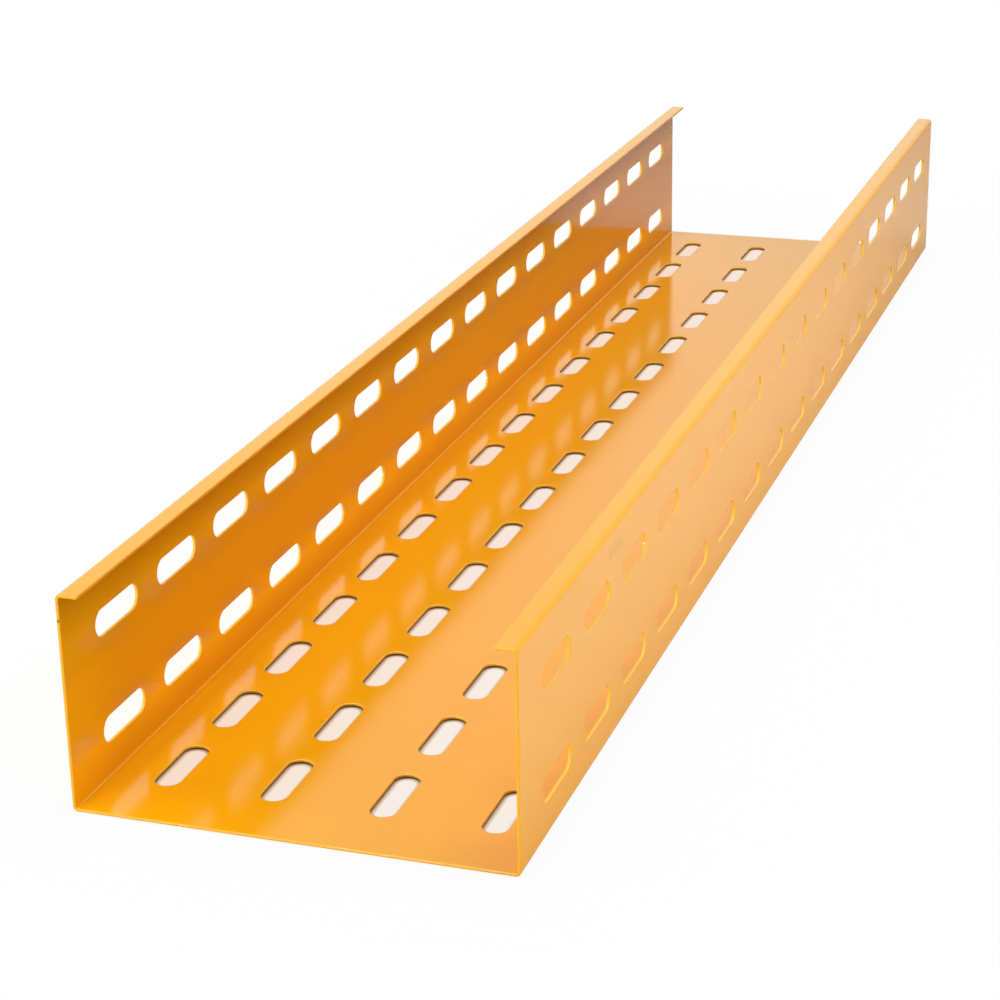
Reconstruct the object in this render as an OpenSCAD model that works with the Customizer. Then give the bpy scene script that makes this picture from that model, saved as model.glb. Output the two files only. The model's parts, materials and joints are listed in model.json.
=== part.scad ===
// Perforated cable tray
// One steel sheet is punched with rows of slots, folded into a channel with a
// lip turned inwards along the top of each wall, and powder coated. The tray
// lies on its floor with its length along X. The origin is on the underside,
// at the middle of the length and of the width.

/* [Tray] */
// Length of the tray, from cut end to cut end
tray_length = 1000; // [200:10:3000]
// Width over the outer faces of the two walls
tray_width = 200; // [100:5:600]
// Height from the underside of the floor to the top of the lips
tray_height = 100; // [50:5:200]

/* [Sheet] */
// Thickness of the sheet
sheet_thickness = 1.5; // [0.8:0.1:2]
// Radius on the inside of every fold
fold_radius = 1; // [0.5:0.1:3]
// Width of a lip, from the outer face of its wall to its free edge
lip_width = 10; // [6:0.5:25]

/* [Slots] */
// Length of a slot over its round ends
slot_length = 40; // [20:1:45]
// Width of a slot
slot_width = 12; // [5:0.5:14]
// Distance between slot centres along a row
slot_pitch = 60; // [50:1:100]
// Distance between the centre lines of neighbouring rows
row_spacing = 50; // [20:1:100]
// Distance from the end at -X to the first slot's centre, and the least at +X
end_margin = 50; // [25:1:100]
// Distance from the outside of a fold to its first row's centre line
row_margin = 22.5; // [15:0.5:40]

/* [Hidden] */
$fn = 48;

coat_colour = [0.95, 0.60, 0.10];

// Outer radius of every fold
outer_radius = fold_radius + sheet_thickness;
// Clear width between the free edges of the lips
mouth_width = tray_width - 2 * lip_width;
// Place along X of the first slot in every row
first_slot = end_margin - tray_length / 2;
// How far a cutter reaches past the face on either side of its cut
cut_past = sheet_thickness;

slots_per_row = copies(tray_length - 2 * end_margin, slot_pitch);
floor_rows = copies(tray_width - 2 * row_margin, row_spacing);
wall_rows = copies(tray_height - 2 * row_margin, row_spacing);

// How many copies, one step apart, stand in a stretch of this length
function copies(stretch, step) = floor(stretch / step) + 1;

// A rectangle with round corners, centred on the origin
module rounded_rectangle(width, height, radius) {
    square([width - 2 * radius, height], center = true);
    square([width, height - 2 * radius], center = true);
    for (side = [-1, 1], end = [-1, 1])
        translate([side * (width / 2 - radius), end * (height / 2 - radius)])
            circle(r = radius);
}

// The section across the tray: floor, walls and lips, one sheet thick, with
// round folds and the mouth open between the lips
module folded_section() {
    inner_width = tray_width - 2 * sheet_thickness;
    inner_height = tray_height - 2 * sheet_thickness;
    translate([0, tray_height / 2])
        difference() {
            rounded_rectangle(tray_width, tray_height, outer_radius);
            rounded_rectangle(inner_width, inner_height, fold_radius);
            translate([-mouth_width / 2, 0])
                square([mouth_width, tray_height]);
        }
}

// One slot's outline, with its round ends along X
module slot_outline() {
    straight_length = slot_length - slot_width;
    square([straight_length, slot_width], center = true);
    for (end = [-1, 1])
        translate([end * straight_length / 2, 0])
            circle(d = slot_width);
}

// Cutters for rows of slots along X, with the first slot at the origin and the
// rows one above the other along Y
module slot_cutters(rows, depth) {
    for (row = [0 : 1 : rows - 1], place = [0 : 1 : slots_per_row - 1])
        translate([place * slot_pitch, row * row_spacing])
            linear_extrude(depth, center = true)
                slot_outline();
}

// Slots in the floor, counted from the wall at -Y
module floor_slots() {
    translate([first_slot, row_margin - tray_width / 2, sheet_thickness / 2])
        slot_cutters(floor_rows, sheet_thickness + 2 * cut_past);
}

// Slots in the walls, counted up from the floor and in line through both walls
module wall_slots() {
    translate([first_slot, 0, row_margin])
        rotate([90, 0, 0])
            slot_cutters(wall_rows, tray_width + 2 * cut_past);
}

// The whole tray, one folded sheet
module tray() {
    color(coat_colour)
        difference() {
            rotate([90, 0, 90])
                linear_extrude(tray_length, center = true)
                    folded_section();
            floor_slots();
            wall_slots();
        }
}

tray();
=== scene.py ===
import json
import math

import bpy
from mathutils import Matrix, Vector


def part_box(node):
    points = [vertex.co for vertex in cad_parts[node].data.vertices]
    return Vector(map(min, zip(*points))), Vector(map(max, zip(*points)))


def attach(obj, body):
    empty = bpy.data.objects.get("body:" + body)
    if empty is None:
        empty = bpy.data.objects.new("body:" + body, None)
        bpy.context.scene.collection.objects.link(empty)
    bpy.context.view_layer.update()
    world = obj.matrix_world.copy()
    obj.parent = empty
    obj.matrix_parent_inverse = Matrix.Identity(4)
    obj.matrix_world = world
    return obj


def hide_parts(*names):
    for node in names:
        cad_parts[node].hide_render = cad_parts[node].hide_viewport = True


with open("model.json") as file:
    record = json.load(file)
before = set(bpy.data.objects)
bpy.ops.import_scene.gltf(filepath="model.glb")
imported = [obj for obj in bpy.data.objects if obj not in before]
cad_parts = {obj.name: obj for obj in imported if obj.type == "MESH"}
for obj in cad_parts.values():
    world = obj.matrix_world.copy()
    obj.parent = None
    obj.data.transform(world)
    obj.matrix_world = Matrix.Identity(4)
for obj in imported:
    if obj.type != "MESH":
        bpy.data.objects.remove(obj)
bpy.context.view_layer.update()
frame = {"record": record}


# Powder coat
# The coat is a polyester powder, sprayed on the finished tray and baked to a glossy orange-yellow
# skin. It flows into a fine orange peel. Its cut edges are lighter, partly from the coat itself
# and partly as a painted highlight. Under each lip the inside of the sheet is painted darker, as
# painted shade.

MM = 0.001


def add_node(tree, kind, feeds=None, **settings):
    """Adds a node, sets its options and feeds its inputs with sockets or plain values."""
    node = tree.nodes.new(kind)
    for option, choice in settings.items():
        setattr(node, option, choice)
    for socket, source in (feeds or {}).items():
        if isinstance(source, bpy.types.NodeSocket):
            tree.links.new(source, node.inputs[socket])
        else:
            node.inputs[socket].default_value = source
    return node


def new_material(name):
    """An empty node material with its output node."""
    material = bpy.data.materials.new(name)
    material.use_nodes = True
    material.node_tree.nodes.clear()
    output = material.node_tree.nodes.new("ShaderNodeOutputMaterial")
    return material, material.node_tree, output


def maths(tree, operation, *terms):
    """The result socket of a sum, product or function of these terms."""
    node = add_node(tree, "ShaderNodeMath", dict(enumerate(terms)), operation=operation)
    return node.outputs["Value"]


def mixed_colour(tree, share, first, second, **settings):
    """The first colour, with this share of the second one in it."""
    node = add_node(tree, "ShaderNodeMix", {
        "Factor": share, 6: first, 7: second}, data_type="RGBA", **settings)
    return node.outputs[2]


def ramp(tree, value, start, end, first=0.0, last=1.0, shape="LINEAR"):
    """Goes from the first level to the last one while the value goes from start to end."""
    node = add_node(tree, "ShaderNodeMapRange", {
        "Value": value, "From Min": start, "From Max": end, "To Min": first, "To Max": last},
        interpolation_type=shape)
    return node.outputs["Result"]


tray_low, tray_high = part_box("tray")
tray_length, tray_width, tray_height = tray_high - tray_low
sheet_thickness = 1.5 * MM

coat_colour = (0.88, 0.372, 0.0006, 1.0)
coat_light = (0.92, 0.402, 0.001, 1.0)
# The lighter colour of the cut edges: partly the coat's own, partly a painted highlight.
edge_tone_and_highlight = (0.95, 0.53, 0.03, 1.0)
# Painted shade: the darker colour on the inside of each wall under the lip.
under_lip_shade_colour = (0.60, 0.285, 0.0006, 1.0)
mark_colour = (0.22, 0.13, 0.06, 1.0)
patch_size = 120 * MM
peel_size = 0.9 * MM
peel_depth = 0.025 * MM
wave_size = 70 * MM
wave_depth = 0.05 * MM
coat_roughness = (0.09, 0.12)
# Heights over which the painted shade under the lips fades in.
lip_shade_from = 55 * MM
lip_shade_to = 98 * MM
inner_half_width = (tray_width - sheet_thickness) / 2
inner_height = tray_height - sheet_thickness / 2
uncut_limit = 0.1
mark_core = 0.4

powder_coat, tree, output = new_material("orange_powder_coat")
place = add_node(tree, "ShaderNodeTexCoord").outputs["Object"]
patches = add_node(tree, "ShaderNodeTexNoise", {
    "Vector": place, "Scale": 1 / patch_size, "Detail": 3.0}).outputs["Fac"]
colour = mixed_colour(tree, patches, coat_colour, coat_light)

# Painted shade under the lips: the inside of the sheet gets darker towards them, but not its cut
# edges.
rim = add_node(tree, "ShaderNodeAttribute", attribute_name="cut_edge").outputs["Fac"]
spread = add_node(tree, "ShaderNodeSeparateXYZ", {"Vector": place}).outputs
lip_shade_ramp = ramp(tree, spread["Z"], lip_shade_from, lip_shade_to)
inside = maths(tree, "LESS_THAN", maths(tree, "ABSOLUTE", spread["Y"]), inner_half_width)
below = maths(tree, "LESS_THAN", spread["Z"], inner_height)
uncut = maths(tree, "LESS_THAN", rim, uncut_limit)
lip_shade_mask = maths(tree, "MULTIPLY", uncut, maths(tree, "MULTIPLY", inside, below))
colour = mixed_colour(tree, maths(tree, "MULTIPLY", lip_shade_ramp, lip_shade_mask), colour, under_lip_shade_colour)
# The cut edges take the lighter edge colour, which is partly a painted highlight.
colour = mixed_colour(tree, rim, colour, edge_tone_and_highlight)

# The photo shows one chip on the near end of the left wall, one smudge and a few specks. Each
# mark has its place and its radius in millimetres, and its strength.
marks = {
    "chip": ((-500, 99.3, 88), 1.0, 1.0),
    "speck_by_slot": ((-392, 30, 1.5), 0.8, 0.8),
    "speck_first": ((-427, 81, 1.5), 0.6, 0.7),
    "speck_second": ((-315, 85, 1.5), 0.6, 0.6),
    "speck_third": ((-324, 83, 1.5), 0.6, 0.6),
    "speck_outside": ((-240, -100, 13), 0.9, 0.9),
    "smudge_start": ((-369, -100, 89), 5.0, 0.13),
    "smudge_middle": ((-362, -100, 89), 5.5, 0.13),
    "smudge_end": ((-355, -100, 89), 5.0, 0.13),
}
marked = 0.0
for spot, radius, strength in marks.values():
    from_spot = add_node(tree, "ShaderNodeVectorMath", {
        0: place, 1: [length * MM for length in spot]}, operation="DISTANCE").outputs["Value"]
    dab = ramp(tree, from_spot, mark_core * radius * MM, radius * MM, strength, 0.0, "SMOOTHSTEP")
    marked = maths(tree, "MAXIMUM", marked, dab)
colour = mixed_colour(tree, marked, colour, mark_colour)

# The gloss varies a little, and the surface has long waves with the fine orange peel on them.
gloss = ramp(tree, patches, 0.0, 1.0, *coat_roughness)
waves = add_node(tree, "ShaderNodeTexNoise", {
    "Vector": place, "Scale": 1 / wave_size, "Detail": 1.0})
wave_bump = add_node(tree, "ShaderNodeBump", {
    "Height": waves.outputs["Fac"], "Distance": wave_depth, "Strength": 1.0})
peel = add_node(tree, "ShaderNodeTexNoise", {
    "Vector": place, "Scale": 1 / peel_size, "Detail": 2.0})
peel_bump = add_node(tree, "ShaderNodeBump", {
    "Height": peel.outputs["Fac"], "Distance": peel_depth, "Strength": 1.0,
    "Normal": wave_bump.outputs["Normal"]})
skin = add_node(tree, "ShaderNodeBsdfPrincipled", {
    "Base Color": colour, "Roughness": gloss, "IOR": 1.5,
    "Normal": peel_bump.outputs["Normal"]})
tree.links.new(skin.outputs["BSDF"], output.inputs["Surface"])


# Tray
# The tray is one steel sheet. It is punched flat with rows of slots, its cut edges are eased,
# and it is folded four times into a channel with an inward lip along the top of each wall.

fold_radius = 1 * MM
lip_width = 10 * MM
edge_rounding = 0.45 * MM

# The slots have the sizes that the record states for the splice plates and the floor fixings.
mounts = {mount["name"]: mount for mount in frame["record"]["mounts"]}
splice = mounts["splice_right_wall"]
slot_length = splice["dims"]["slot_length_mm"] * MM
slot_width = 2 * splice["dims"]["hole_r_mm"] * MM
slot_pitch = splice["dims"]["spacing_x_mm"] * MM
row_spacing = splice["dims"]["spacing_y_mm"] * MM
row_shift = mounts["floor_fixing"]["pos_m"][1]
slots_per_row = 16
floor_rows = 4
wall_rows = 2

# Lengths of the flat blank across the tray, from the middle of the floor to the free edge.
outer_radius = fold_radius + sheet_thickness
middle_radius = fold_radius + sheet_thickness / 2
blank_spans = {
    "Half floor": tray_width / 2 - outer_radius,
    "Fold": middle_radius * math.pi / 2,
    "Wall": tray_height - 2 * outer_radius,
    "Lip": lip_width - outer_radius,
}

SOCKET_KINDS = {
    float: "NodeSocketFloat",
    int: "NodeSocketInt",
    bpy.types.Material: "NodeSocketMaterial",
}


def start_tree(name, values):
    """Starts a geometry node tree with one named input for each value."""
    tree = bpy.data.node_groups.new(name, "GeometryNodeTree")
    for in_out in ("INPUT", "OUTPUT"):
        tree.interface.new_socket("Geometry", in_out=in_out, socket_type="NodeSocketGeometry")
    for label, value in values.items():
        kind = SOCKET_KINDS[type(value)]
        tree.interface.new_socket(label, in_out="INPUT", socket_type=kind)
    return tree, add_node(tree, "NodeGroupInput").outputs


def end_tree(tree, shape, coat):
    """Realizes the shape, gives it its material and sends it out of the tree."""
    whole = add_node(tree, "GeometryNodeRealizeInstances", {"Geometry": shape})
    coated = add_node(tree, "GeometryNodeSetMaterial", {
        "Geometry": whole.outputs["Geometry"], "Material": coat})
    add_node(tree, "NodeGroupOutput", {"Geometry": coated.outputs["Geometry"]})


def use_tree(piece, tree, values):
    """Puts the tree on the piece, with its inputs set by identifier."""
    modifier = piece.modifiers.new(tree.name, "NODES")
    modifier.node_group = tree
    for item in tree.interface.items_tree:
        if item.in_out == "INPUT" and item.name in values:
            modifier[item.identifier] = values[item.name]


def join(tree, *shapes):
    """All these shapes as one."""
    node = tree.nodes.new("GeometryNodeJoinGeometry")
    for shape in shapes:
        tree.links.new(shape, node.inputs["Geometry"])
    return node.outputs["Geometry"]


def mixed_level(tree, share, first, second):
    """The first level, with this share of the second one in it."""
    node = add_node(tree, "ShaderNodeMix", {
        "Factor": share, 2: first, 3: second}, data_type="FLOAT")
    return node.outputs[0]


def moved_across(tree, shape, distance):
    """The shape moved across the blank."""
    shift = add_node(tree, "ShaderNodeCombineXYZ", {"Y": distance}).outputs["Vector"]
    node = add_node(tree, "GeometryNodeTransform", {"Geometry": shape, "Translation": shift})
    return node.outputs["Geometry"]


def punched_panel(tree, sizes, width, rows):
    """A flat panel, as long as the tray, with rows of slots cut out of it."""
    # The radius is just under half the width, so that the points of the two arcs don't meet.
    end_radius = maths(tree, "MULTIPLY", sizes["Slot width"], sizes["Round share"])
    square_slot = add_node(tree, "GeometryNodeCurvePrimitiveQuadrilateral", {
        "Width": sizes["Slot length"], "Height": sizes["Slot width"]})
    slot = add_node(tree, "GeometryNodeFilletCurve", {
        "Curve": square_slot.outputs["Curve"], "Count": sizes["Arc steps"],
        "Radius": end_radius}, mode="POLY")
    row_gaps = maths(tree, "SUBTRACT", rows, 1.0)
    slot_gaps = maths(tree, "SUBTRACT", sizes["Slots per row"], 1.0)
    places = add_node(tree, "GeometryNodeMeshGrid", {
        "Size X": maths(tree, "MULTIPLY", slot_gaps, sizes["Slot pitch"]),
        "Size Y": maths(tree, "MULTIPLY", row_gaps, sizes["Row spacing"]),
        "Vertices X": sizes["Slots per row"], "Vertices Y": rows})
    slots = add_node(tree, "GeometryNodeInstanceOnPoints", {
        "Points": moved_across(tree, places.outputs["Mesh"], sizes["Row shift"]),
        "Instance": slot.outputs["Curve"]})
    cuts = add_node(tree, "GeometryNodeRealizeInstances", {"Geometry": slots.outputs["Instances"]})
    border = add_node(tree, "GeometryNodeCurvePrimitiveQuadrilateral", {
        "Width": sizes["Length"], "Height": width})
    outlines = join(tree, border.outputs["Curve"], cuts.outputs["Geometry"])
    return add_node(tree, "GeometryNodeFillCurve", {"Curve": outlines},
                    mode="TRIANGLES").outputs["Mesh"]


def plain_strip(tree, sizes, width, steps):
    """A flat strip, as long as the tray, with steps across it."""
    lines = maths(tree, "ADD", steps, 1.0)
    return add_node(tree, "GeometryNodeMeshGrid", {
        "Size X": sizes["Length"], "Size Y": width,
        "Vertices X": 2, "Vertices Y": lines}).outputs["Mesh"]


blank_values = {
    "Length": tray_length,
    **blank_spans,
    "Slot length": slot_length,
    "Slot width": slot_width,
    "Slot pitch": slot_pitch,
    "Row spacing": row_spacing,
    "Row shift": row_shift,
    "Slots per row": slots_per_row,
    "Floor rows": floor_rows,
    "Wall rows": wall_rows,
    "Round share": 0.4999,
    "Arc steps": 6,
    "Fold steps": 8,
    "Weld distance": 0.02 * MM,
    "Coat": powder_coat,
}
blank, sizes = start_tree("punched_blank", blank_values)
floor_width = maths(blank, "MULTIPLY", sizes["Half floor"], 2.0)
floor_panel = punched_panel(blank, sizes, floor_width, sizes["Floor rows"])
side_strips = []
reach = sizes["Half floor"]
for span, shape in (
    (sizes["Fold"], plain_strip(blank, sizes, sizes["Fold"], sizes["Fold steps"])),
    (sizes["Wall"], punched_panel(blank, sizes, sizes["Wall"], sizes["Wall rows"])),
    (sizes["Fold"], plain_strip(blank, sizes, sizes["Fold"], sizes["Fold steps"])),
    (sizes["Lip"], plain_strip(blank, sizes, sizes["Lip"], 1.0)),
):
    middle = maths(blank, "MULTIPLY_ADD", span, 0.5, reach)
    side_strips.append(moved_across(blank, shape, middle))
    reach = maths(blank, "ADD", reach, span)
left_side = join(blank, *side_strips)
right_side = add_node(blank, "GeometryNodeTransform", {
    "Geometry": left_side, "Rotation": (0.0, 0.0, math.pi)})
sheet = add_node(blank, "GeometryNodeMergeByDistance", {
    "Geometry": join(blank, floor_panel, left_side, right_side.outputs["Geometry"]),
    "Distance": sizes["Weld distance"]})
end_tree(blank, sheet.outputs["Geometry"], sizes["Coat"])

fold_values = {
    "Length": tray_length,
    **blank_spans,
    "Sheet thickness": sheet_thickness,
    "Fold radius": fold_radius,
    "Face depth": 0.99,
    "Border tone": 0.3,
    "Coat": powder_coat,
}
folding, sizes = start_tree("folded_channel", fold_values)
place = add_node(folding, "GeometryNodeInputPosition").outputs["Position"]
flat = add_node(folding, "ShaderNodeSeparateXYZ", {"Vector": place}).outputs
side = maths(folding, "SIGN", flat["Y"])
across = maths(folding, "ABSOLUTE", flat["Y"])
covered = []
reach = 0.0
for label in ("Half floor", "Fold", "Wall", "Fold", "Lip"):
    past = maths(folding, "SUBTRACT", across, reach)
    covered.append(add_node(folding, "ShaderNodeClamp", {
        "Value": past, "Min": 0.0, "Max": sizes[label]}).outputs["Result"])
    reach = maths(folding, "ADD", reach, sizes[label])
on_floor, on_fold, on_wall, on_lip_fold, on_lip = covered
half_sheet = maths(folding, "MULTIPLY", sizes["Sheet thickness"], 0.5)
middle = maths(folding, "ADD", sizes["Fold radius"], half_sheet)
turned = maths(folding, "ADD", on_fold, on_lip_fold)
angle = maths(folding, "DIVIDE", turned, middle)
sine = maths(folding, "SINE", angle)
cosine = maths(folding, "COSINE", angle)
radius = maths(folding, "SUBTRACT", middle, flat["Z"])
width = maths(folding, "MULTIPLY_ADD", radius, sine, on_floor)
width = maths(folding, "MULTIPLY_ADD", on_lip, cosine, width)
rise = maths(folding, "ADD", middle, half_sheet)
rise = maths(folding, "ADD", rise, on_wall)
rise = maths(folding, "SUBTRACT", rise, maths(folding, "MULTIPLY", radius, cosine))
rise = maths(folding, "MULTIPLY_ADD", on_lip, sine, rise)
folded = add_node(folding, "ShaderNodeCombineXYZ", {
    "X": flat["X"], "Y": maths(folding, "MULTIPLY", width, side), "Z": rise})

# The slots are punched. Their rims take the full lighter edge colour, and the sheared border of
# the sheet takes less of it. This is partly the coat's lighter edge and partly a painted
# highlight.
depth = maths(folding, "DIVIDE", maths(folding, "ABSOLUTE", flat["Z"]), half_sheet)
cut = maths(folding, "LESS_THAN", depth, sizes["Face depth"])
half_length = maths(folding, "MULTIPLY", sizes["Length"], 0.5)
from_end = maths(folding, "SUBTRACT", half_length, maths(folding, "ABSOLUTE", flat["X"]))
from_lip_edge = maths(folding, "SUBTRACT", reach, across)
from_border = maths(folding, "MINIMUM", from_end, from_lip_edge)
inner = maths(folding, "GREATER_THAN", from_border, sizes["Sheet thickness"])
rim_highlight_share = mixed_level(folding, inner, sizes["Border tone"], 1.0)
marked = add_node(folding, "GeometryNodeStoreNamedAttribute", {
    "Geometry": sizes["Geometry"], "Name": "cut_edge",
    "Value": maths(folding, "MULTIPLY", cut, rim_highlight_share)}, data_type="FLOAT", domain="POINT")
channel = add_node(folding, "GeometryNodeSetPosition", {
    "Geometry": marked.outputs["Geometry"], "Position": folded.outputs["Vector"]})
smooth = add_node(folding, "GeometryNodeSetShadeSmooth", {
    "Geometry": channel.outputs["Geometry"], "Shade Smooth": True})
end_tree(folding, smooth.outputs["Geometry"], sizes["Coat"])

tray = bpy.data.objects.new("folded_tray", bpy.data.meshes.new("folded_tray"))
bpy.context.scene.collection.objects.link(tray)
use_tree(tray, blank, blank_values)
thicken = tray.modifiers.new("sheet_thickness", "SOLIDIFY")
thicken.thickness = sheet_thickness
thicken.offset = 0
ease = tray.modifiers.new("eased_edges", "BEVEL")
ease.width = edge_rounding
ease.segments = 2
ease.limit_method = "ANGLE"
ease.angle_limit = math.radians(60)
ease.use_clamp_overlap = False
ease.loop_slide = False
use_tree(tray, folding, fold_values)
flatten = tray.modifiers.new("flat_faces", "WEIGHTED_NORMAL")
flatten.weight = 100

evaluated = tray.evaluated_get(bpy.context.evaluated_depsgraph_get())
mesh = bpy.data.meshes.new_from_object(evaluated)
mesh.materials.clear()
mesh.materials.append(powder_coat)
tray.modifiers.clear()
tray.data = mesh
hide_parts("tray")
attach(tray, "root")


# Studio floor
# The floor is a sheet of plain white paper that runs far past the tray, which lies on it. The
# camera sees it glow white, with a faint shadow round the tray and a painted warm shade under it.

floor_reach = 6.0
floor_gap = 0.5 * MM
paper_level = 0.75
# Painted shadow: the paper is darker next to the tray and darker still under it.
paper_by_tray = 0.60
paper_under_tray = 0.30
dim_reach = 0.08
white = (1.0, 1.0, 1.0, 1.0)
# Painted tint of the paper's glow beside the left wall.
cream = (1.0, 0.985, 0.92, 1.0)
cream_reach = 0.10
# Painted warm tint and painted brown shade of the paper's glow under the tray.
ground_right = (1.0, 0.90, 0.82, 1.0)
ground_left = (1.0, 0.76, 0.62, 1.0)
shade_powers = (1.6, 2.3, 3.2)
tint_from = -0.02
tint_to = 0.08
edge_inset = 2.5 * MM
edge_blend = 1 * MM
shade_reach = 2.5 * MM
shadow_reach = 0.3
# Level of the white glow by the share of shadow_reach that a point lies from the tray.
glow_by_distance = {0.0: 0.92, 0.004: 0.93, 0.06: 0.98, 1.0: 1.0}

floor_mesh = bpy.data.meshes.new("studio_floor")
corners = [(-1, -1), (1, -1), (1, 1), (-1, 1)]
floor_points = [(x * floor_reach, y * floor_reach, -floor_gap) for x, y in corners]
floor_mesh.from_pydata(floor_points, [], [range(4)])
floor = bpy.data.objects.new("studio_floor", floor_mesh)
bpy.context.scene.collection.objects.link(floor)

floor_paper, tree, output = new_material("floor_paper")
path = add_node(tree, "ShaderNodeLightPath").outputs

# How far a point of the paper lies outside the tray, along X and Y only.
place = add_node(tree, "ShaderNodeTexCoord").outputs["Object"]
mirrored = add_node(tree, "ShaderNodeVectorMath", {0: place}, operation="ABSOLUTE")
past = add_node(tree, "ShaderNodeVectorMath", {
    0: mirrored.outputs["Vector"],
    1: (tray_length / 2 - edge_inset, tray_width / 2 - edge_inset, 1.0)}, operation="SUBTRACT")
outside = add_node(tree, "ShaderNodeVectorMath", {
    0: past.outputs["Vector"], 1: (0.0, 0.0, 0.0)}, operation="MAXIMUM")
away = add_node(tree, "ShaderNodeVectorMath", {
    0: outside.outputs["Vector"]}, operation="LENGTH").outputs["Value"]
clear = ramp(tree, away, 0.0, edge_blend)
# Painted shadow: the paper is darker close to the tray and under it, in reflections and bounced
# light.
paper_tone = ramp(tree, away, 0.0, dim_reach, paper_by_tray, paper_level)
paper_tone = mixed_level(tree, clear, paper_under_tray, paper_tone)
paper = add_node(tree, "ShaderNodeBsdfDiffuse", {"Color": paper_tone})

# Under the tray the paper's glow has a painted warm tint for light off the coat, most by the wall
# on the left, and a painted brown shade where the sheet lies close over it.
across = add_node(tree, "ShaderNodeSeparateXYZ", {"Vector": place}).outputs["Y"]
leftward = ramp(tree, across, tint_from, tint_to)
ground = mixed_colour(tree, leftward, ground_right, ground_left)
open_air = add_node(tree, "ShaderNodeAmbientOcclusion", {"Distance": shade_reach}, samples=8)
shade = add_node(tree, "ShaderNodeCombineXYZ", {
    axis: maths(tree, "POWER", open_air.outputs["AO"], power)
    for axis, power in zip("XYZ", shade_powers)}).outputs["Vector"]
ground = mixed_colour(tree, 1.0, ground, shade, blend_type="MULTIPLY")

# Beside the left wall the paper's glow takes a painted touch of the wall's colour.
from_wall = maths(tree, "ABSOLUTE", maths(tree, "SUBTRACT", across, tray_width / 2))
by_wall = ramp(tree, from_wall, 0.0, cream_reach, 1.0, 0.0)
past_end = add_node(tree, "ShaderNodeSeparateXYZ", {"Vector": past.outputs["Vector"]}).outputs["X"]
along_wall = ramp(tree, past_end, -cream_reach, 0.0, 1.0, 0.0)
beside = mixed_colour(tree, maths(tree, "MULTIPLY", by_wall, along_wall), white, cream)
glow_tone = mixed_colour(tree, clear, ground, beside)
glow = add_node(tree, "ShaderNodeEmission", {"Color": glow_tone, "Strength": 1.0})

share = add_node(tree, "ShaderNodeValToRGB", {"Fac": maths(tree, "DIVIDE", away, shadow_reach)})
steps = share.color_ramp.elements
while len(steps) < len(glow_by_distance):
    steps.new(0.5)
for step, (distance, level) in zip(steps, glow_by_distance.items()):
    step.position = distance
    step.color = (level, level, level, 1.0)
seen = maths(tree, "MAXIMUM", path["Is Camera Ray"], path["Is Transmission Ray"])
mixed = add_node(tree, "ShaderNodeMixShader", {
    "Fac": maths(tree, "MULTIPLY", seen, share.outputs["Color"]),
    1: paper.outputs["BSDF"], 2: glow.outputs["Emission"]})
tree.links.new(mixed.outputs["Shader"], output.inputs["Surface"])
floor_mesh.materials.append(floor_paper)


# Studio light
# White walls all round give the coat its soft reflections. Four wide lamps light the tray from
# above and from both sides, and two low ones light its near end and its right wall.

wall_light = 0.10
gloss_right = 0.85
gloss_right_twice = 0.25
gloss_left_low = 1.22
gloss_left_high = 1.05
gloss_tone = (1.0, 1.0, 0.84, 1.0)
left_fade = (0.3, 0.48)
side_fade = (-0.25, 0.15)
twice_from = 1.5

world = bpy.data.worlds.new("white_studio")
bpy.context.scene.world = world
world.use_nodes = True
tree = world.node_tree
tree.nodes.clear()
path = add_node(tree, "ShaderNodeLightPath").outputs
direction = add_node(tree, "ShaderNodeTexCoord").outputs["Generated"]
heading = add_node(tree, "ShaderNodeSeparateXYZ", {"Vector": direction}).outputs

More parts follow.
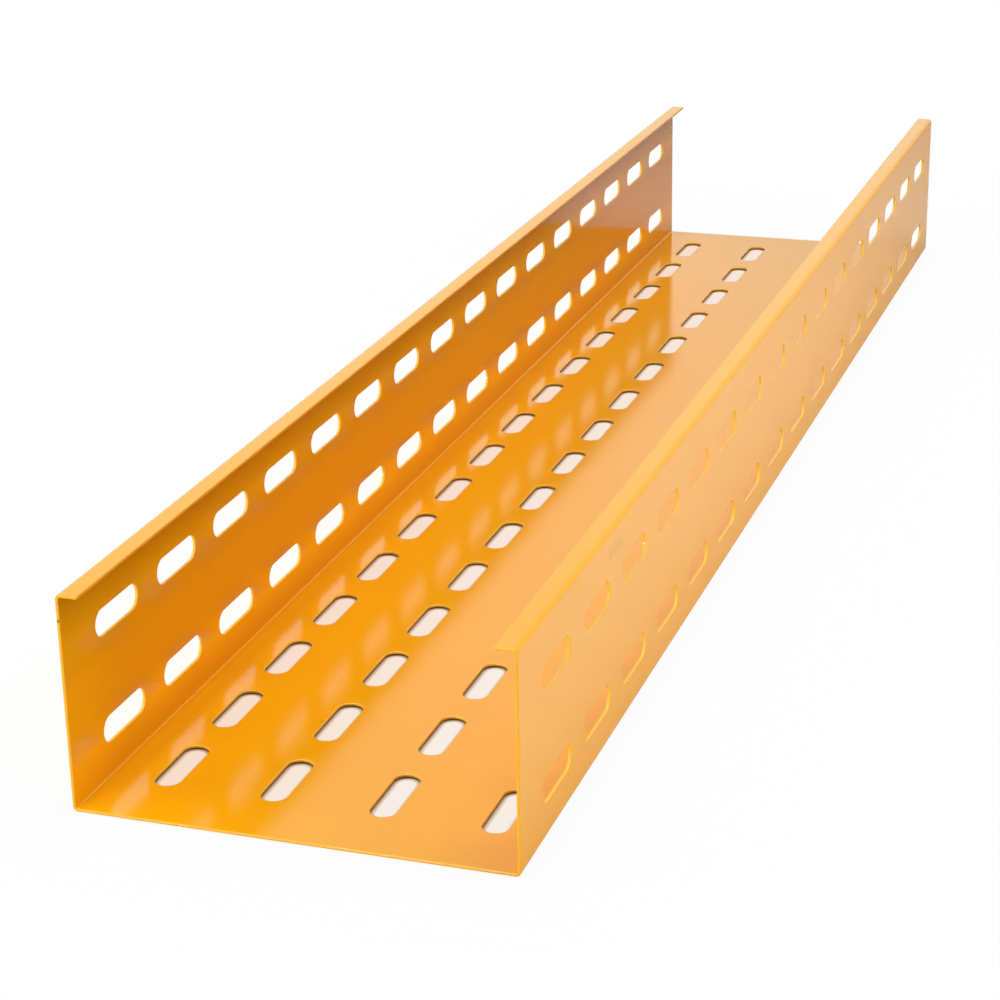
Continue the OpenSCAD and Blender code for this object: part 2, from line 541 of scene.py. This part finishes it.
# The coat mirrors the walls, which are darker on the right, most of all in a second reflection.
mirrored_twice = maths(tree, "GREATER_THAN", path["Glossy Depth"], twice_from)
on_the_right = mixed_level(tree, mirrored_twice, gloss_right, gloss_right_twice)
on_the_left = ramp(
    tree, heading["Z"], *left_fade, gloss_left_low, gloss_left_high, "SMOOTHSTEP")
in_gloss = ramp(tree, heading["Y"], *side_fade, on_the_right, on_the_left, "SMOOTHSTEP")

# The camera sees the walls white, and they light the tray only a little.
seen = maths(tree, "MAXIMUM", path["Is Camera Ray"], path["Is Transmission Ray"])
level = mixed_level(tree, seen, wall_light, 1.0)
level = mixed_level(tree, path["Is Glossy Ray"], level, in_gloss)
wall_tone = mixed_colour(tree, path["Is Glossy Ray"], white, gloss_tone)
sky = add_node(tree, "ShaderNodeBackground", {"Color": wall_tone, "Strength": level})
add_node(tree, "ShaderNodeOutputWorld", {"Surface": sky.outputs["Background"]})


def add_lamp(name, width, height, power, place):
    """A soft lamp that faces the middle of the tray."""
    light = bpy.data.lights.new(name, "AREA")
    light.shape = "RECTANGLE"
    light.size = width
    light.size_y = height
    light.energy = power
    lamp = bpy.data.objects.new(name, light)
    lamp.location = place
    lamp.rotation_euler = (-lamp.location).to_track_quat("-Z", "Y").to_euler()
    bpy.context.scene.collection.objects.link(lamp)


add_lamp("lamp_overhead", 1.0, 1.0, 15.5, (-0.15, -0.25, 1.8))
add_lamp("lamp_key", 0.6, 0.6, 12.0, (-1.2, 0.4, 1.9))
add_lamp("lamp_left", 0.8, 0.8, 8.0, (-0.9, 1.2, 1.1))
add_lamp("lamp_high_right", 1.0, 1.0, 10.0, (-0.05, -1.35, 1.3))
add_lamp("lamp_low_right", 1.2, 0.1, 10.0, (-0.25, -1.6, 0.05))
add_lamp("lamp_front", 0.9, 0.12, 23.0, (-2.4, 0.75, 0.08))


# Camera
# It stands before the near end, to the right of the tray and above it, as the photo's does. Its
# place, turn and lens were fitted to the slot centres and the corners in the photo.

camera_data = bpy.data.cameras.new("camera")
camera_data.sensor_width = 36
camera_data.lens = 89.0
camera = bpy.data.objects.new("camera", camera_data)
camera.location = (-1.3279, -0.3744, 0.4924)
camera.rotation_euler = [math.radians(turn) for turn in (69.251, 0.995, -71.666)]
bpy.context.scene.collection.objects.link(camera)
bpy.context.scene.camera = camera
bpy.context.scene.view_settings.view_transform = "Standard"
